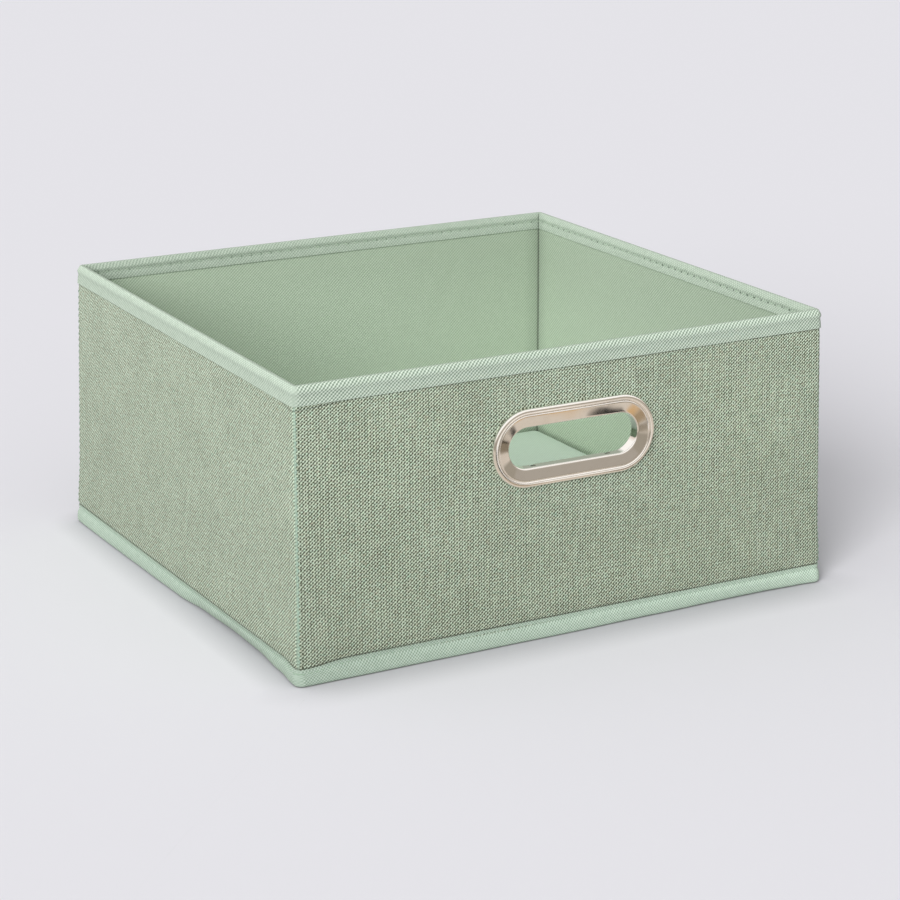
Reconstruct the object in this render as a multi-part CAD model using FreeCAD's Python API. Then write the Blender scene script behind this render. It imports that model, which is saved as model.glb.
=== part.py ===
import FreeCAD, Part

import math
import os

# Fabric storage basket: four board-stiffened cloth walls with a sewn-in bottom,
# bound edges, a loose base panel and a stamped metal handle frame in the front wall.
# Millimetres. Origin at the middle of the footprint on the table, +Z up, front at -Y.

Vector = FreeCAD.Vector

# Overall size, over the woven cover
WIDTH = 300.0
DEPTH = 280.0
HEIGHT = 150.0

# Sheet thicknesses
COVER_T = 0.8
WALL_BOARD_T = 2.0
LINING_T = 0.5
TAPE_T = 0.6
BOTTOM_T = 0.5
BASE_BOARD_T = 3.0
BASE_COVER_T = 0.4
FRONT_PLATE_T = 0.5
BACK_PLATE_T = 0.6

# Bends are drawn in short flats, about this long
BEND_FLAT_LENGTH = 0.75

# Upright corners: what is left as radius at the innermost layer
CORNER_INSIDE_R = 0.6

# Top binding, a tape folded over the rim
RIM_OUTSIDE = 10.0
RIM_INSIDE = 9.5
RIM_FOLD_INSIDE_R = 0.9

# Hem, the bound seam that the basket stands on
HEM_HEIGHT = 10.0
HEM_FLARE_WIDTH = 2.8
HEM_FOLD_INSIDE_R = 0.3
HEM_FLOOR_GAP = 0.3
HEM_FOOT_GAP = 0.1

# Wall boards in their pockets
BOARD_END_GAP = 1.0
BOARD_TOP_GAP = 0.3
BOARD_FOOT_GAP = 0.3
POCKET_FOOT = 2.2

# Sewn-in bottom and the loose base panel on it
FLOOR_DROP = 1.1
BASE_LIFT_GAP = 1.1
BASE_CORNER_R = 4.0

# Oval slot in the front wall
SLOT_STRAIGHT = 53.0
SLOT_R = 10.4
SLOT_CLEARANCE = 0.3
HANDLE_DROP = 49.5

# Front plate of the handle frame: rolled rim, crease, sloping band, rounded mouth
FRONT_PLATE_WIDTH = 9.6
RIM_ROLL_WIDTH = 2.8
RIM_RISE = 2.8
CREASE_RISE = 3.0
MOUTH_RISE = 1.7
RIM_ROLL_INSIDE_R = 1.4
MOUTH_INSIDE_R = 1.1

# Its barrel is crimped over the back plate, with relief notches at the ends of the straights
CRIMP_LENGTH = 3.0
CRIMP_CLEARANCE = 0.1
NOTCH_INSET = 5.0
NOTCH_WIDTH = 2.6
NOTCH_INTO_BARREL = 0.9

# Back plate: a seat for the crimp, a step and a raised crown round it
SEAT_MARGIN = 0.5
STEP_WIDTH = 0.5
CROWN_WIDTH = 3.0
CROWN_RISE = 1.0

# Sizes that follow from those above
WALL_T = COVER_T + WALL_BOARD_T + LINING_T
SEAM_T = COVER_T + LINING_T + BOTTOM_T
CORNER_R = WALL_T + TAPE_T + CORNER_INSIDE_R
WALL_TOP = HEIGHT - TAPE_T - RIM_FOLD_INSIDE_R
SEAM_FOOT = TAPE_T + HEM_FOLD_INSIDE_R + HEM_FOOT_GAP
FLOOR_TOP = HEM_HEIGHT - FLOOR_DROP
FLOOR_UNDER = FLOOR_TOP - BOTTOM_T
POCKET_BOTTOM = HEM_HEIGHT + POCKET_FOOT
HANDLE_Z = HEIGHT - HANDLE_DROP
BASE_GAP = BACK_PLATE_T + CROWN_RISE + BASE_LIFT_GAP
BASE_LENGTH = WIDTH - 2 * (WALL_T + BASE_GAP)
BASE_WIDTH = DEPTH - 2 * (WALL_T + BASE_GAP)

# Each wall: how far it is turned from the front one, its length and the distance across
SIDES = {
    "front": (0.0, WIDTH, DEPTH),
    "right": (90.0, DEPTH, WIDTH),
    "back": (180.0, WIDTH, DEPTH),
    "left": (270.0, DEPTH, WIDTH),
}


def direction(a, b):
    """Unit vector from one outline point to another."""
    length = math.hypot(b[0] - a[0], b[1] - a[1])
    return (b[0] - a[0]) / length, (b[1] - a[1]) / length


def turn_between(before, after):
    """Angle from one direction to the next, positive to the left."""
    cross = before[0] * after[1] - before[1] * after[0]
    along = before[0] * after[0] + before[1] * after[1]
    return math.atan2(cross, along)


def bent_sheet(line, thickness):
    """Outline of a bent sheet from its face line of (u, v, inside bend radius), thickness to the left."""
    face = []
    other = []
    last = len(line) - 1
    for i, (u, v, inside_r) in enumerate(line):
        before = direction(line[max(i - 1, 0)], line[max(i, 1)])
        after = direction(line[min(i, last - 1)], line[min(i + 1, last)])
        turn = turn_between(before, after)
        heading = math.atan2(before[1], before[0]) + turn / 2
        reach = thickness / math.cos(turn / 2)
        outside_r = inside_r + thickness if inside_r > 0 else 0.0
        face_r, other_r = (outside_r, inside_r) if turn > 0 else (inside_r, outside_r)
        face.append((u, v, face_r))
        other.append((u - reach * math.sin(heading), v + reach * math.cos(heading), other_r))
    return face + other[::-1]


def hanging_sheet(line, thickness):
    """Outline of a sheet between its outer face line of (u, v) and the same line moved inwards."""
    outer = [(u, v, 0.0) for u, v in line]
    inner = [(u + thickness, v, 0.0) for u, v in line]
    return outer + inner[::-1]


def bend_points(corner, before, after, radius):
    """Points along the bend at a corner, from the line that comes in to the line that goes out."""
    if radius == 0:
        return [corner]
    turn = turn_between(before, after)
    reach = radius * math.tan(abs(turn) / 2)
    side = math.copysign(radius, turn)
    centre_u = corner[0] - before[0] * reach - before[1] * side
    centre_v = corner[1] - before[1] * reach + before[0] * side
    heading = math.atan2(before[1], before[0])
    flats = max(1, round(radius * abs(turn) / BEND_FLAT_LENGTH))
    angles = [heading + turn * i / flats for i in range(flats + 1)]
    return [(centre_u + side * math.sin(a), centre_v - side * math.cos(a)) for a in angles]


def outline_face(outline, place):
    """Face inside a closed outline of (u, v, corner radius), set in space by place(u, v)."""
    points = []
    for i, (u, v, radius) in enumerate(outline):
        before = direction(outline[i - 1], outline[i])
        after = direction(outline[i], outline[(i + 1) % len(outline)])
        points += bend_points((u, v), before, after, radius)
    corners = [place(*point) for point in points]
    return Part.Face(Part.makePolygon(corners + corners[:1]))


def joined(solids):
    """One clean solid from touching solids."""
    return solids[0].fuse(solids[1:]).removeSplitter()


def flare_at(height):
    """How far the hem flares out at a height."""
    return HEM_FLARE_WIDTH * max(0.0, 1 - height / HEM_HEIGHT)


def wall_side(outline, side):
    """An outline of (distance inwards from the cover, height) drawn along a wall and into its corners."""
    angle, length, across = SIDES[side]
    start = length / 2 - CORNER_R
    flared = [(u - flare_at(v), v, radius) for u, v, radius in outline]
    face = outline_face(flared, lambda u, v: Vector(-start, u - across / 2, v))
    run = face.extrude(Vector(2 * start, 0, 0))
    turn_y = CORNER_R - across / 2
    near_turn = face.revolve(Vector(-start, turn_y, 0), Vector(0, 0, -1), 45)
    far_face = face.translated(Vector(2 * start, 0, 0))
    far_turn = far_face.revolve(Vector(start, turn_y, 0), Vector(0, 0, 1), 45)
    wall = joined([run, near_turn, far_turn])
    wall.rotate(Vector(0, 0, 0), Vector(0, 0, 1), angle)
    return wall


def wall_ring(outline):
    """The outline drawn once round all four walls."""
    return joined([wall_side(outline, side) for side in SIDES])


def rounded_block(length, width, radius, bottom, top):
    """Flat block round the origin with its upright corners rounded."""
    block = Part.makeBox(length, width, top - bottom, Vector(-length / 2, -width / 2, bottom))
    uprights = [edge for edge in block.Edges if abs(edge.tangentAt(edge.FirstParameter).z) > 0.5]
    return block.makeFillet(radius, uprights)


def slot_cutter():
    """Oval prism through the front wall for the barrel of the handle frame."""
    radius = SLOT_R + FRONT_PLATE_T + SLOT_CLEARANCE
    near = -DEPTH / 2 - WALL_T
    through = Vector(0, 3 * WALL_T, 0)
    ends = [Vector(x, near, HANDLE_Z) for x in (-SLOT_STRAIGHT / 2, SLOT_STRAIGHT / 2)]
    discs = [Part.Face(Part.Wire(Part.makeCircle(radius, end, Vector(0, 1, 0)))) for end in ends]
    middle = Part.makeBox(SLOT_STRAIGHT, through.y, 2 * radius, Vector(ends[0].x, near, HANDLE_Z - radius))
    return joined([middle] + [disc.extrude(through) for disc in discs])


def oval_ring(outline):
    """An outline of (distance from the slot's middle line, height off the cover) drawn round the slot."""
    half = SLOT_STRAIGHT / 2
    face = outline_face(outline, lambda r, p: Vector(half, -DEPTH / 2 - p, HANDLE_Z + r))
    straight = face.extrude(Vector(-SLOT_STRAIGHT, 0, 0))
    end = face.revolve(Vector(half, 0, HANDLE_Z), Vector(0, 1, 0), 180)
    upper = joined([straight, end])
    lower = upper.copy()
    lower.rotate(Vector(0, 0, HANDLE_Z), Vector(0, 1, 0), 180)
    return joined([upper, lower])


def make_cover(side):
    """Woven outer panel of one wall, down into the hem."""
    line = [
        (0.0, WALL_TOP),
        (0.0, HEM_HEIGHT),
        (0.0, SEAM_FOOT),
    ]
    return wall_side(hanging_sheet(line, COVER_T), side)


def make_lining(side):
    """Lining panel of one wall: behind the board, then under it and down into the hem."""
    line = [
        (WALL_T - LINING_T, WALL_TOP),
        (WALL_T - LINING_T, POCKET_BOTTOM),
        (COVER_T, HEM_HEIGHT),
        (COVER_T, SEAM_FOOT),
    ]
    return wall_side(hanging_sheet(line, LINING_T), side)


def make_board(side):
    """Flat stiffening board in the pocket between cover and lining."""
    angle, length, across = SIDES[side]
    board_length = length - 2 * (CORNER_R + BOARD_END_GAP)
    foot = POCKET_BOTTOM + BOARD_FOOT_GAP
    board_height = WALL_TOP - BOARD_TOP_GAP - foot
    corner = Vector(-board_length / 2, COVER_T - across / 2, foot)
    board = Part.makeBox(board_length, WALL_BOARD_T, board_height, corner)
    board.rotate(Vector(0, 0, 0), Vector(0, 0, 1), angle)
    return board


def make_top_binding():
    """Tape folded over the rim: a leg inside and a slightly longer one outside."""
    line = [
        (WALL_T + TAPE_T, HEIGHT - RIM_INSIDE, 0.0),
        (WALL_T + TAPE_T, HEIGHT, RIM_FOLD_INSIDE_R),
        (-TAPE_T, HEIGHT, RIM_FOLD_INSIDE_R),
        (-TAPE_T, HEIGHT - RIM_OUTSIDE, 0.0),
    ]
    return wall_ring(bent_sheet(line, TAPE_T))


def make_bottom_binding():
    """Tape folded under the seam of walls and bottom, which is what stands on the table."""
    inside_top = FLOOR_UNDER - HEM_FLOOR_GAP
    line = [
        (-TAPE_T, HEM_HEIGHT, 0.0),
        (-TAPE_T, 0.0, HEM_FOLD_INSIDE_R),
        (SEAM_T + TAPE_T, 0.0, HEM_FOLD_INSIDE_R),
        (SEAM_T + TAPE_T, inside_top, 0.0),
    ]
    return wall_ring(bent_sheet(line, TAPE_T))


def make_bottom_panel():
    """Sewn-in bottom: a flat sheet whose edge turns down into the hem."""
    edge = COVER_T + LINING_T
    flange = wall_ring(hanging_sheet([(edge, FLOOR_TOP), (edge, SEAM_FOOT)], BOTTOM_T))
    inset = SEAM_T - flare_at(FLOOR_UNDER)
    sheet = rounded_block(WIDTH - 2 * inset, DEPTH - 2 * inset, CORNER_R - inset, FLOOR_UNDER, FLOOR_TOP)
    return joined([flange, sheet])


def make_base_board():
    """Loose board that keeps the floor flat."""
    length = BASE_LENGTH - 2 * BASE_COVER_T
    width = BASE_WIDTH - 2 * BASE_COVER_T
    bottom = FLOOR_TOP + BASE_COVER_T
    return rounded_block(length, width, BASE_CORNER_R - BASE_COVER_T, bottom, bottom + BASE_BOARD_T)


def make_base_cover():
    """Sleeve round the base board, with its mouth in the back edge."""
    board = make_base_board()
    top = FLOOR_TOP + BASE_BOARD_T + 2 * BASE_COVER_T
    sleeve = rounded_block(BASE_LENGTH, BASE_WIDTH, BASE_CORNER_R, FLOOR_TOP, top)
    mouth_length = BASE_LENGTH - 2 * BASE_CORNER_R
    mouth_corner = Vector(-mouth_length / 2, 0, FLOOR_TOP + BASE_COVER_T)
    mouth = Part.makeBox(mouth_length, BASE_WIDTH / 2, BASE_BOARD_T, mouth_corner)
    return sleeve.cut([board, mouth]).removeSplitter()


def make_front_plate():
    """Stamped front of the handle frame with its barrel and the edge crimped over the back plate."""
    outer = SLOT_R + FRONT_PLATE_WIDTH
    crimp_face = -WALL_T - BACK_PLATE_T - FRONT_PLATE_T
    line = [
        (outer, 0.0, 0.0),
        (outer, RIM_RISE, RIM_ROLL_INSIDE_R),
        (outer - RIM_ROLL_WIDTH, CREASE_RISE, 0.0),
        (SLOT_R, MOUTH_RISE, MOUTH_INSIDE_R),
        (SLOT_R, crimp_face, 0.0),
        (SLOT_R + CRIMP_LENGTH, crimp_face, 0.0),
    ]
    plate = oval_ring(bent_sheet(line, FRONT_PLATE_T))
    return plate.cut(crimp_notches())


def crimp_notches():
    """Four boxes that cut the crimped edge and the end of the barrel."""
    near = -DEPTH / 2 + WALL_T - NOTCH_INTO_BARREL
    depth = NOTCH_INTO_BARREL + BACK_PLATE_T + 2 * FRONT_PLATE_T
    reach = CRIMP_LENGTH + 2 * FRONT_PLATE_T
    start = SLOT_R - FRONT_PLATE_T
    place = SLOT_STRAIGHT / 2 - NOTCH_INSET
    notches = []
    for x in (-place, place):
        for foot in (HANDLE_Z + start, HANDLE_Z - start - reach):
            corner = Vector(x - NOTCH_WIDTH / 2, near, foot)
            notches.append(Part.makeBox(NOTCH_WIDTH, depth, reach, corner))
    return notches


def make_back_plate():
    """Ring on the lining that the barrel is crimped over."""
    hole_r = SLOT_R + FRONT_PLATE_T + CRIMP_CLEARANCE
    seat_end = SLOT_R + CRIMP_LENGTH + SEAT_MARGIN
    crown_start = seat_end + STEP_WIDTH
    crown_end = crown_start + CROWN_WIDTH
    seat = -WALL_T - BACK_PLATE_T
    crown = seat - CROWN_RISE
    line = [
        (hole_r, seat, 0.0),
        (seat_end, seat, 0.0),
        (crown_start, crown, 0.0),
        (crown_end, crown, 0.0),
        (crown_end, -WALL_T, 0.0),
    ]
    return oval_ring(bent_sheet(line, BACK_PLATE_T))


def main():
    """Builds every piece and writes one file for each."""
    pieces = {}
    for side in SIDES:
        pieces[side + "_cover"] = make_cover(side)
        pieces[side + "_board"] = make_board(side)
        pieces[side + "_lining"] = make_lining(side)
    slot = slot_cutter()
    for name in ("front_cover", "front_board", "front_lining"):
        pieces[name] = pieces[name].cut(slot)
    pieces["bottom_panel"] = make_bottom_panel()
    pieces["top_binding"] = make_top_binding()
    pieces["bottom_binding"] = make_bottom_binding()
    pieces["handle_front_plate"] = make_front_plate()
    pieces["handle_back_plate"] = make_back_plate()
    pieces["base_board"] = make_base_board()
    pieces["base_board_cover"] = make_base_cover()

    os.makedirs("parts", exist_ok=True)
    for name, shape in pieces.items():
        print(f"{name}: {len(shape.Solids)} solid, {shape.Volume:.1f} mm3, valid {shape.isValid()}")
        shape.exportStep(f"parts/{name}.step")


main()
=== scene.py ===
"""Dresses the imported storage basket: woven walls, non-woven lining, bound edges, stitching,
base panel and the plated frame of the hand slot, with the floor, lamp and camera of the photograph."""

import logging
import math
from contextlib import contextmanager
from dataclasses import dataclass
from enum import Enum
from typing import Callable, Iterable, Iterator, Optional

import bpy
from mathutils import Matrix, Vector, noise


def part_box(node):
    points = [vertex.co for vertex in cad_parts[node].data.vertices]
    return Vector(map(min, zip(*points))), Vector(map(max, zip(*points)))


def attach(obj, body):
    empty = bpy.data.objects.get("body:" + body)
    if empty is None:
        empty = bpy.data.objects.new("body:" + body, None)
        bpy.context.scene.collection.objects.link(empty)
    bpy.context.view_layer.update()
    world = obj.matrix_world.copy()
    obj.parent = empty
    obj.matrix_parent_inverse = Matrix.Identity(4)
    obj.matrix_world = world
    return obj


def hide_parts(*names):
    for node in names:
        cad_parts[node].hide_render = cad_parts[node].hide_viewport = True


LOG = logging.getLogger("basket")

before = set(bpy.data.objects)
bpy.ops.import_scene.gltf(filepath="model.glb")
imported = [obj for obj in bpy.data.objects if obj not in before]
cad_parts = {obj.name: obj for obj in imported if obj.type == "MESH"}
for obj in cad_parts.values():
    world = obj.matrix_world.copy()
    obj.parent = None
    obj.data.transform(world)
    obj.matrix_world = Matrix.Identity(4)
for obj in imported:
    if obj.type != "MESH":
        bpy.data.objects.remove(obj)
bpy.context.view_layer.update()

MM = 0.001
X_AXIS, Y_AXIS, Z_AXIS = (1.0, 0.0, 0.0), (0.0, 1.0, 0.0), (0.0, 0.0, 1.0)
Pair = tuple[float, float]
Triple = tuple[float, float, float]
Colour = tuple[float, float, float, float]


class Side(Enum):
    """The walls, by quarter turns from the front one."""

    FRONT = 0
    RIGHT = 1
    BACK = 2
    LEFT = 3


class Slot(Enum):
    """Material slots of the record."""

    WOVEN = "woven_cover"
    LINING = "lining"
    TAPE = "binding_tape"
    WALL_BOARD = "wall_board"
    PLATE = "plated_steel"


@dataclass(frozen=True)
class BasketSize:
    """Sizes of the real basket in metres, the same as in the part's source."""

    width: float = 300 * MM
    depth: float = 280 * MM
    height: float = 150 * MM
    cover: float = 0.8 * MM
    lining: float = 0.5 * MM
    tape: float = 0.6 * MM
    wall: float = 3.3 * MM
    seam: float = 1.8 * MM
    corner: float = 2.4 * MM
    wall_top: float = 148.5 * MM
    seam_foot: float = 1.0 * MM
    hem: float = 10 * MM
    pocket: float = 12.2 * MM
    rim_outside: float = 10 * MM
    rim_inside: float = 9.5 * MM
    floor: float = 8.9 * MM
    slot_z: float = 100.5 * MM
    slot_r: float = 10.4 * MM
    slot_half: float = 26.5 * MM


SIZE = BasketSize()


def srgb(red: float, green: float, blue: float) -> Colour:
    """Linear colour of an 8-bit screen colour.

    Args:
        red, green, blue: screen values from 0 to 255.

    Returns:
        Linear red, green and blue with an alpha of 1.
    """
    def linear(value: float) -> float:
        """Linear value of one channel."""
        share = value / 255
        return share / 12.92 if share <= 0.04045 else ((share + 0.055) / 1.055) ** 2.4

    return linear(red), linear(green), linear(blue), 1.0


def smooth_step(low: float, high: float, value: float) -> float:
    """Share from 0 at low to 1 at high, with soft ends."""
    share = min(1.0, max(0.0, (value - low) / (high - low)))
    return share * share * (3 - 2 * share)


def bell(value: float, middle: float, width: float) -> float:
    """Share that is 1 at the middle and falls off smoothly within the width."""
    return math.exp(-(((value - middle) / width) ** 2))


# ---------------------------------------------------------------- pieces


def choose(*pieces: bpy.types.Object) -> None:
    """Deselects everything, then selects these objects and makes the first one active."""
    if bpy.context.object and bpy.context.object.mode != "OBJECT":
        bpy.ops.object.mode_set(mode="OBJECT")
    bpy.ops.object.select_all(action="DESELECT")
    for piece in pieces:
        piece.select_set(True)
    if pieces:
        bpy.context.view_layer.objects.active = pieces[0]


def add(kind: str, name: str = "", **settings: object) -> bpy.types.Object:
    """Adds a primitive mesh.

    Args:
        kind: which primitive, such as grid.
        name: the object's and the mesh's name, if it is kept.
        settings: the primitive's own values.

    Returns:
        The new object.
    """
    choose()
    getattr(bpy.ops.mesh, f"primitive_{kind}_add")(**settings)
    piece = bpy.context.object
    if name:
        piece.name = piece.data.name = name
    return piece


def keep_place() -> None:
    """Puts the selected object's place, turn and scale into its mesh."""
    bpy.ops.object.transform_apply(location=True, rotation=True, scale=True)


@contextmanager
def editing(piece: bpy.types.Object) -> Iterator[None]:
    """Opens a piece for editing with all of it selected, and closes it afterwards."""
    choose(piece)
    bpy.ops.object.mode_set(mode="EDIT")
    bpy.ops.mesh.select_all(action="SELECT")
    yield
    bpy.ops.object.mode_set(mode="OBJECT")


def slice_open_mesh(axis: int, low: float, high: float, count: int) -> None:
    """Cuts the mesh that is open for editing into even lengths.

    Args:
        axis: 0, 1 or 2, which the cuts lie across.
        low, high: where the lengths start and end.
        count: the number of lengths.
    """
    for i in range(1, count):
        bpy.ops.mesh.select_all(action="SELECT")
        at, normal = [0.0] * 3, [0.0] * 3
        at[axis], normal[axis] = low + (high - low) * i / count, 1.0
        bpy.ops.mesh.bisect(plane_co=at, plane_no=normal)


def finish_with(piece: bpy.types.Object, kind: str, **settings: object) -> None:
    """Adds one modifier to a piece and applies it.

    Args:
        piece: the mesh object.
        kind: the modifier's type.
        settings: its values.
    """
    choose(piece)
    modifier = piece.modifiers.new(kind.title(), kind)
    for name, value in settings.items():
        setattr(modifier, name, value)
    bpy.ops.object.modifier_apply(modifier=modifier.name)


def cut(piece: bpy.types.Object, cutter: bpy.types.Object) -> None:
    """Cuts a cutter's form out of a piece and removes the cutter."""
    finish_with(piece, "BOOLEAN", object=cutter, operation="DIFFERENCE", solver="EXACT")
    bpy.data.objects.remove(cutter, do_unlink=True)


def settle(piece: bpy.types.Object, angle: float = 50.0) -> None:
    """Puts a piece's place into its mesh and shades it smooth up to an angle in degrees."""
    choose(piece)
    keep_place()
    bpy.ops.object.shade_smooth_by_angle(angle=math.radians(angle))


def weld(piece: bpy.types.Object, outward: bool = False) -> None:
    """Merges points that lie together and, if asked, turns all faces outwards."""
    with editing(piece):
        bpy.ops.mesh.remove_doubles(threshold=0.02 * MM)
        if outward:
            bpy.ops.mesh.normals_make_consistent(inside=False)


def map_cloth(mesh: bpy.types.Mesh, place: Callable[[int], Pair]) -> None:
    """Writes the cloth's own metres, found from a vertex's number, to the UV map called cloth."""
    layer = mesh.uv_layers.active or mesh.uv_layers.new()
    layer.name = "cloth"
    for loop in mesh.loops:
        layer.data[loop.index].uv = place(loop.vertex_index)


def hand_over(
    piece: bpy.types.Object,
    slot: Slot,
    finish: bpy.types.Material,
    body: str = "basket",
    nodes: Iterable[str] = (),
) -> None:
    """Gives a finished piece its material and body, and hides the CAD nodes that it stands for."""
    piece.data.materials.clear()
    piece.data.materials.append(finish)
    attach(piece, body)
    if nodes:
        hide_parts(*nodes)
    LOG.info("%s: %d faces", piece.name, len(piece.data.polygons))


# ---------------------------------------------------------------- shader wiring


class Signal:
    """A value in a node tree that is being wired. Arithmetic on it adds Math nodes."""

    def __init__(self, wiring: "Wiring", socket: bpy.types.NodeSocket) -> None:
        """Keeps the wiring and the socket that gives the value."""
        self.wiring = wiring
        self.socket = socket

    def __add__(self, other: object) -> "Signal":
        """The sum."""
        return self.wiring.math("ADD", self, other)

    def __sub__(self, other: object) -> "Signal":
        """The difference."""
        return self.wiring.math("SUBTRACT", self, other)

    def __rsub__(self, other: object) -> "Signal":
        """A number less this value."""
        return self.wiring.math("SUBTRACT", other, self)

    def __mul__(self, other: object) -> "Signal":
        """The product."""
        return self.wiring.math("MULTIPLY", self, other)

    def __truediv__(self, other: object) -> "Signal":
        """The quotient."""
        return self.wiring.math("DIVIDE", self, other)

    def __abs__(self) -> "Signal":
        """The value without its sign."""
        return self.wiring.math("ABSOLUTE", self)

    def held(self) -> "Signal":
        """The result of the last sum, held between 0 and 1."""
        self.socket.node.use_clamp = True
        return self

    def spread(self, low: float, high: float, to_low: float = 0.0, to_high: float = 1.0) -> "Signal":
        """The value mapped from one range to another and held to its ends."""
        ends = {"From Min": low, "From Max": high, "To Min": to_low, "To Max": to_high}
        return self.wiring.tap("ShaderNodeMapRange", "Result", {"Value": self, **ends})


class Wiring:
    """Adds nodes to one node tree and joins them."""

    def __init__(self, tree: bpy.types.NodeTree) -> None:
        """Keeps the tree."""
        self.tree = tree

    def feed(self, socket: bpy.types.NodeSocket, value: object) -> None:
        """Links a signal into an input, or writes a plain value there."""
        if isinstance(value, Signal):
            self.tree.links.new(value.socket, socket)
        else:
            socket.default_value = value

    def tap(self, kind: str, output: int | str, inputs: dict, **settings: object) -> Signal:
        """Adds one node.

        Args:
            kind: the node's type.
            output: which of its outputs is wanted.
            inputs: signals or plain values for its inputs.
            settings: its properties.

        Returns:
            The output.
        """
        made = self.tree.nodes.new(kind)
        for name, value in settings.items():
            setattr(made, name, value)
        for key, value in inputs.items():
            self.feed(made.inputs[key], value)
        return Signal(self, made.outputs[output])

    def math(self, operation: str, *values: object) -> Signal:
        """One Math node."""
        return self.tap("ShaderNodeMath", 0, dict(enumerate(values)), operation=operation)

    def vector(self, operation: str, *values: object) -> Signal:
        """One Vector Math node: its vector, or its value for a dot product or a length."""
        keys = (0, 3) if operation == "SCALE" else (0, 1)
        output = "Value" if operation in ("DOT_PRODUCT", "LENGTH") else "Vector"
        return self.tap("ShaderNodeVectorMath", output, dict(zip(keys, values)), operation=operation)

    def along(self, where: Signal, direction: Triple) -> Signal:
        """How far a place lies along a direction."""
        return self.vector("DOT_PRODUCT", where, direction)

    def mix(self, share: object, low: object, high: object, blend: str = "MIX") -> Signal:
        """One colour mix."""
        return self.tap("ShaderNodeMix", 2, {0: share, 6: low, 7: high}, data_type="RGBA", blend_type=blend)

    def noise(
        self, where: Signal, scale: float, detail: float = 2.0, rough: float = 0.5, output: str = "Fac",
    ) -> Signal:
        """One Noise node."""
        inputs = {"Vector": where, "Scale": scale, "Detail": detail, "Roughness": rough}
        return self.tap("ShaderNodeTexNoise", output, inputs)

    def grain(self, where: Signal, scales: Triple, detail: float = 2.0, rough: float = 0.5) -> Signal:
        """Noise with a scale of its own along each axis."""
        return self.noise(self.vector("MULTIPLY", where, scales), 1.0, detail, rough)

    def wander(self, where: Signal, scale: float, detail: float, reach: float) -> Signal:
        """A place that noise moves about, by up to half the reach in each direction."""
        drift = self.vector("SUBTRACT", self.noise(where, scale, detail, output="Color"), (0.5, 0.5, 0.5))
        return self.vector("ADD", where, self.vector("SCALE", drift, reach))

    def use(self, tree: bpy.types.NodeTree, **values: object) -> dict[str, Signal]:
        """Places a node group and gives its outputs by name."""
        made = self.tree.nodes.new("ShaderNodeGroup")
        made.node_tree = tree
        for name, value in values.items():
            self.feed(made.inputs[name], value)
        return {socket.name: Signal(self, socket) for socket in made.outputs}

    def shine(self, kind: str, light: Signal) -> None:
        """Adds the tree's output node and feeds its surface."""
        self.feed(self.tree.nodes.new(kind).inputs["Surface"], light)

    def give(self, **values: Signal) -> bpy.types.NodeTree:
        """Ends a node group: adds its outputs and feeds them, and gives its tree."""
        for name in values:
            self.tree.interface.new_socket(name, in_out="OUTPUT", socket_type="NodeSocketFloat")
        out = self.tree.nodes.new("NodeGroupOutput")
        for name, value in values.items():
            self.feed(out.inputs[name], value)
        return self.tree


def new_group(name: str, **takes: float) -> tuple[Wiring, dict[str, Signal]]:
    """Starts a shader node group that takes a place and some numbers.

    Args:
        name: the group's name.
        takes: names and usual values of the numbers.

    Returns:
        The wiring, and the inputs by name, of which the place is Vector.
    """
    tree = bpy.data.node_groups.new(name, "ShaderNodeTree")
    tree.interface.new_socket("Vector", in_out="INPUT", socket_type="NodeSocketVector")
    for label, usual in takes.items():
        tree.interface.new_socket(label, in_out="INPUT", socket_type="NodeSocketFloat").default_value = usual
    wiring = Wiring(tree)
    given = tree.nodes.new("NodeGroupInput")
    return wiring, {label: Signal(wiring, given.outputs[label]) for label in ("Vector", *takes)}


def linen_weave() -> bpy.types.NodeTree:
    """Relief and thread tint of the slubby plain weave, 1.02 mm by 0.9 mm from thread to thread.

    Returns:
        A group that takes the cloth's own metres and gives Height, Thread and Warmth.
    """
    wiring, given = new_group("linen_weave")
    cloth = given["Vector"]
    where = wiring.wander(cloth, 210.0, 1.0, 0.22 * MM)
    total: object = 0.5
    # Cycles per metre across and up the cloth, with their weights.
    for across, up, weight in (
        (510, -554, 0.30), (471, 554, 0.15), (680, 0, 0.12), (330, 920, 0.05), (350, -300, 0.06), (10, 570, 0.05),
    ):
        turns = wiring.along(where, (across * math.tau, up * math.tau, 0.0))
        total = wiring.math("COSINE", turns) * weight + total
    weft = wiring.grain(cloth, (60.0, 1100.0, 1.0)) - 0.5
    warp = wiring.grain(cloth, (980.0, 60.0, 1.0)) - 0.5
    fibre = wiring.grain(where, (3400.0, 2600.0, 1.0)) - 0.5
    height = (total + (weft + warp) * 0.32 + fibre * 0.50).held()
    patch = wiring.noise(cloth, 26.0, 4.0, 0.62)
    thread = (height + patch.spread(0.3, 0.7, -0.03, 0.03)).held()
    dyed = wiring.grain(where, (300.0, 900.0, 1.0), 2.0, 0.6)
    return wiring.give(Height=height, Thread=thread, Warmth=dyed.spread(0.42, 0.72))


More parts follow.
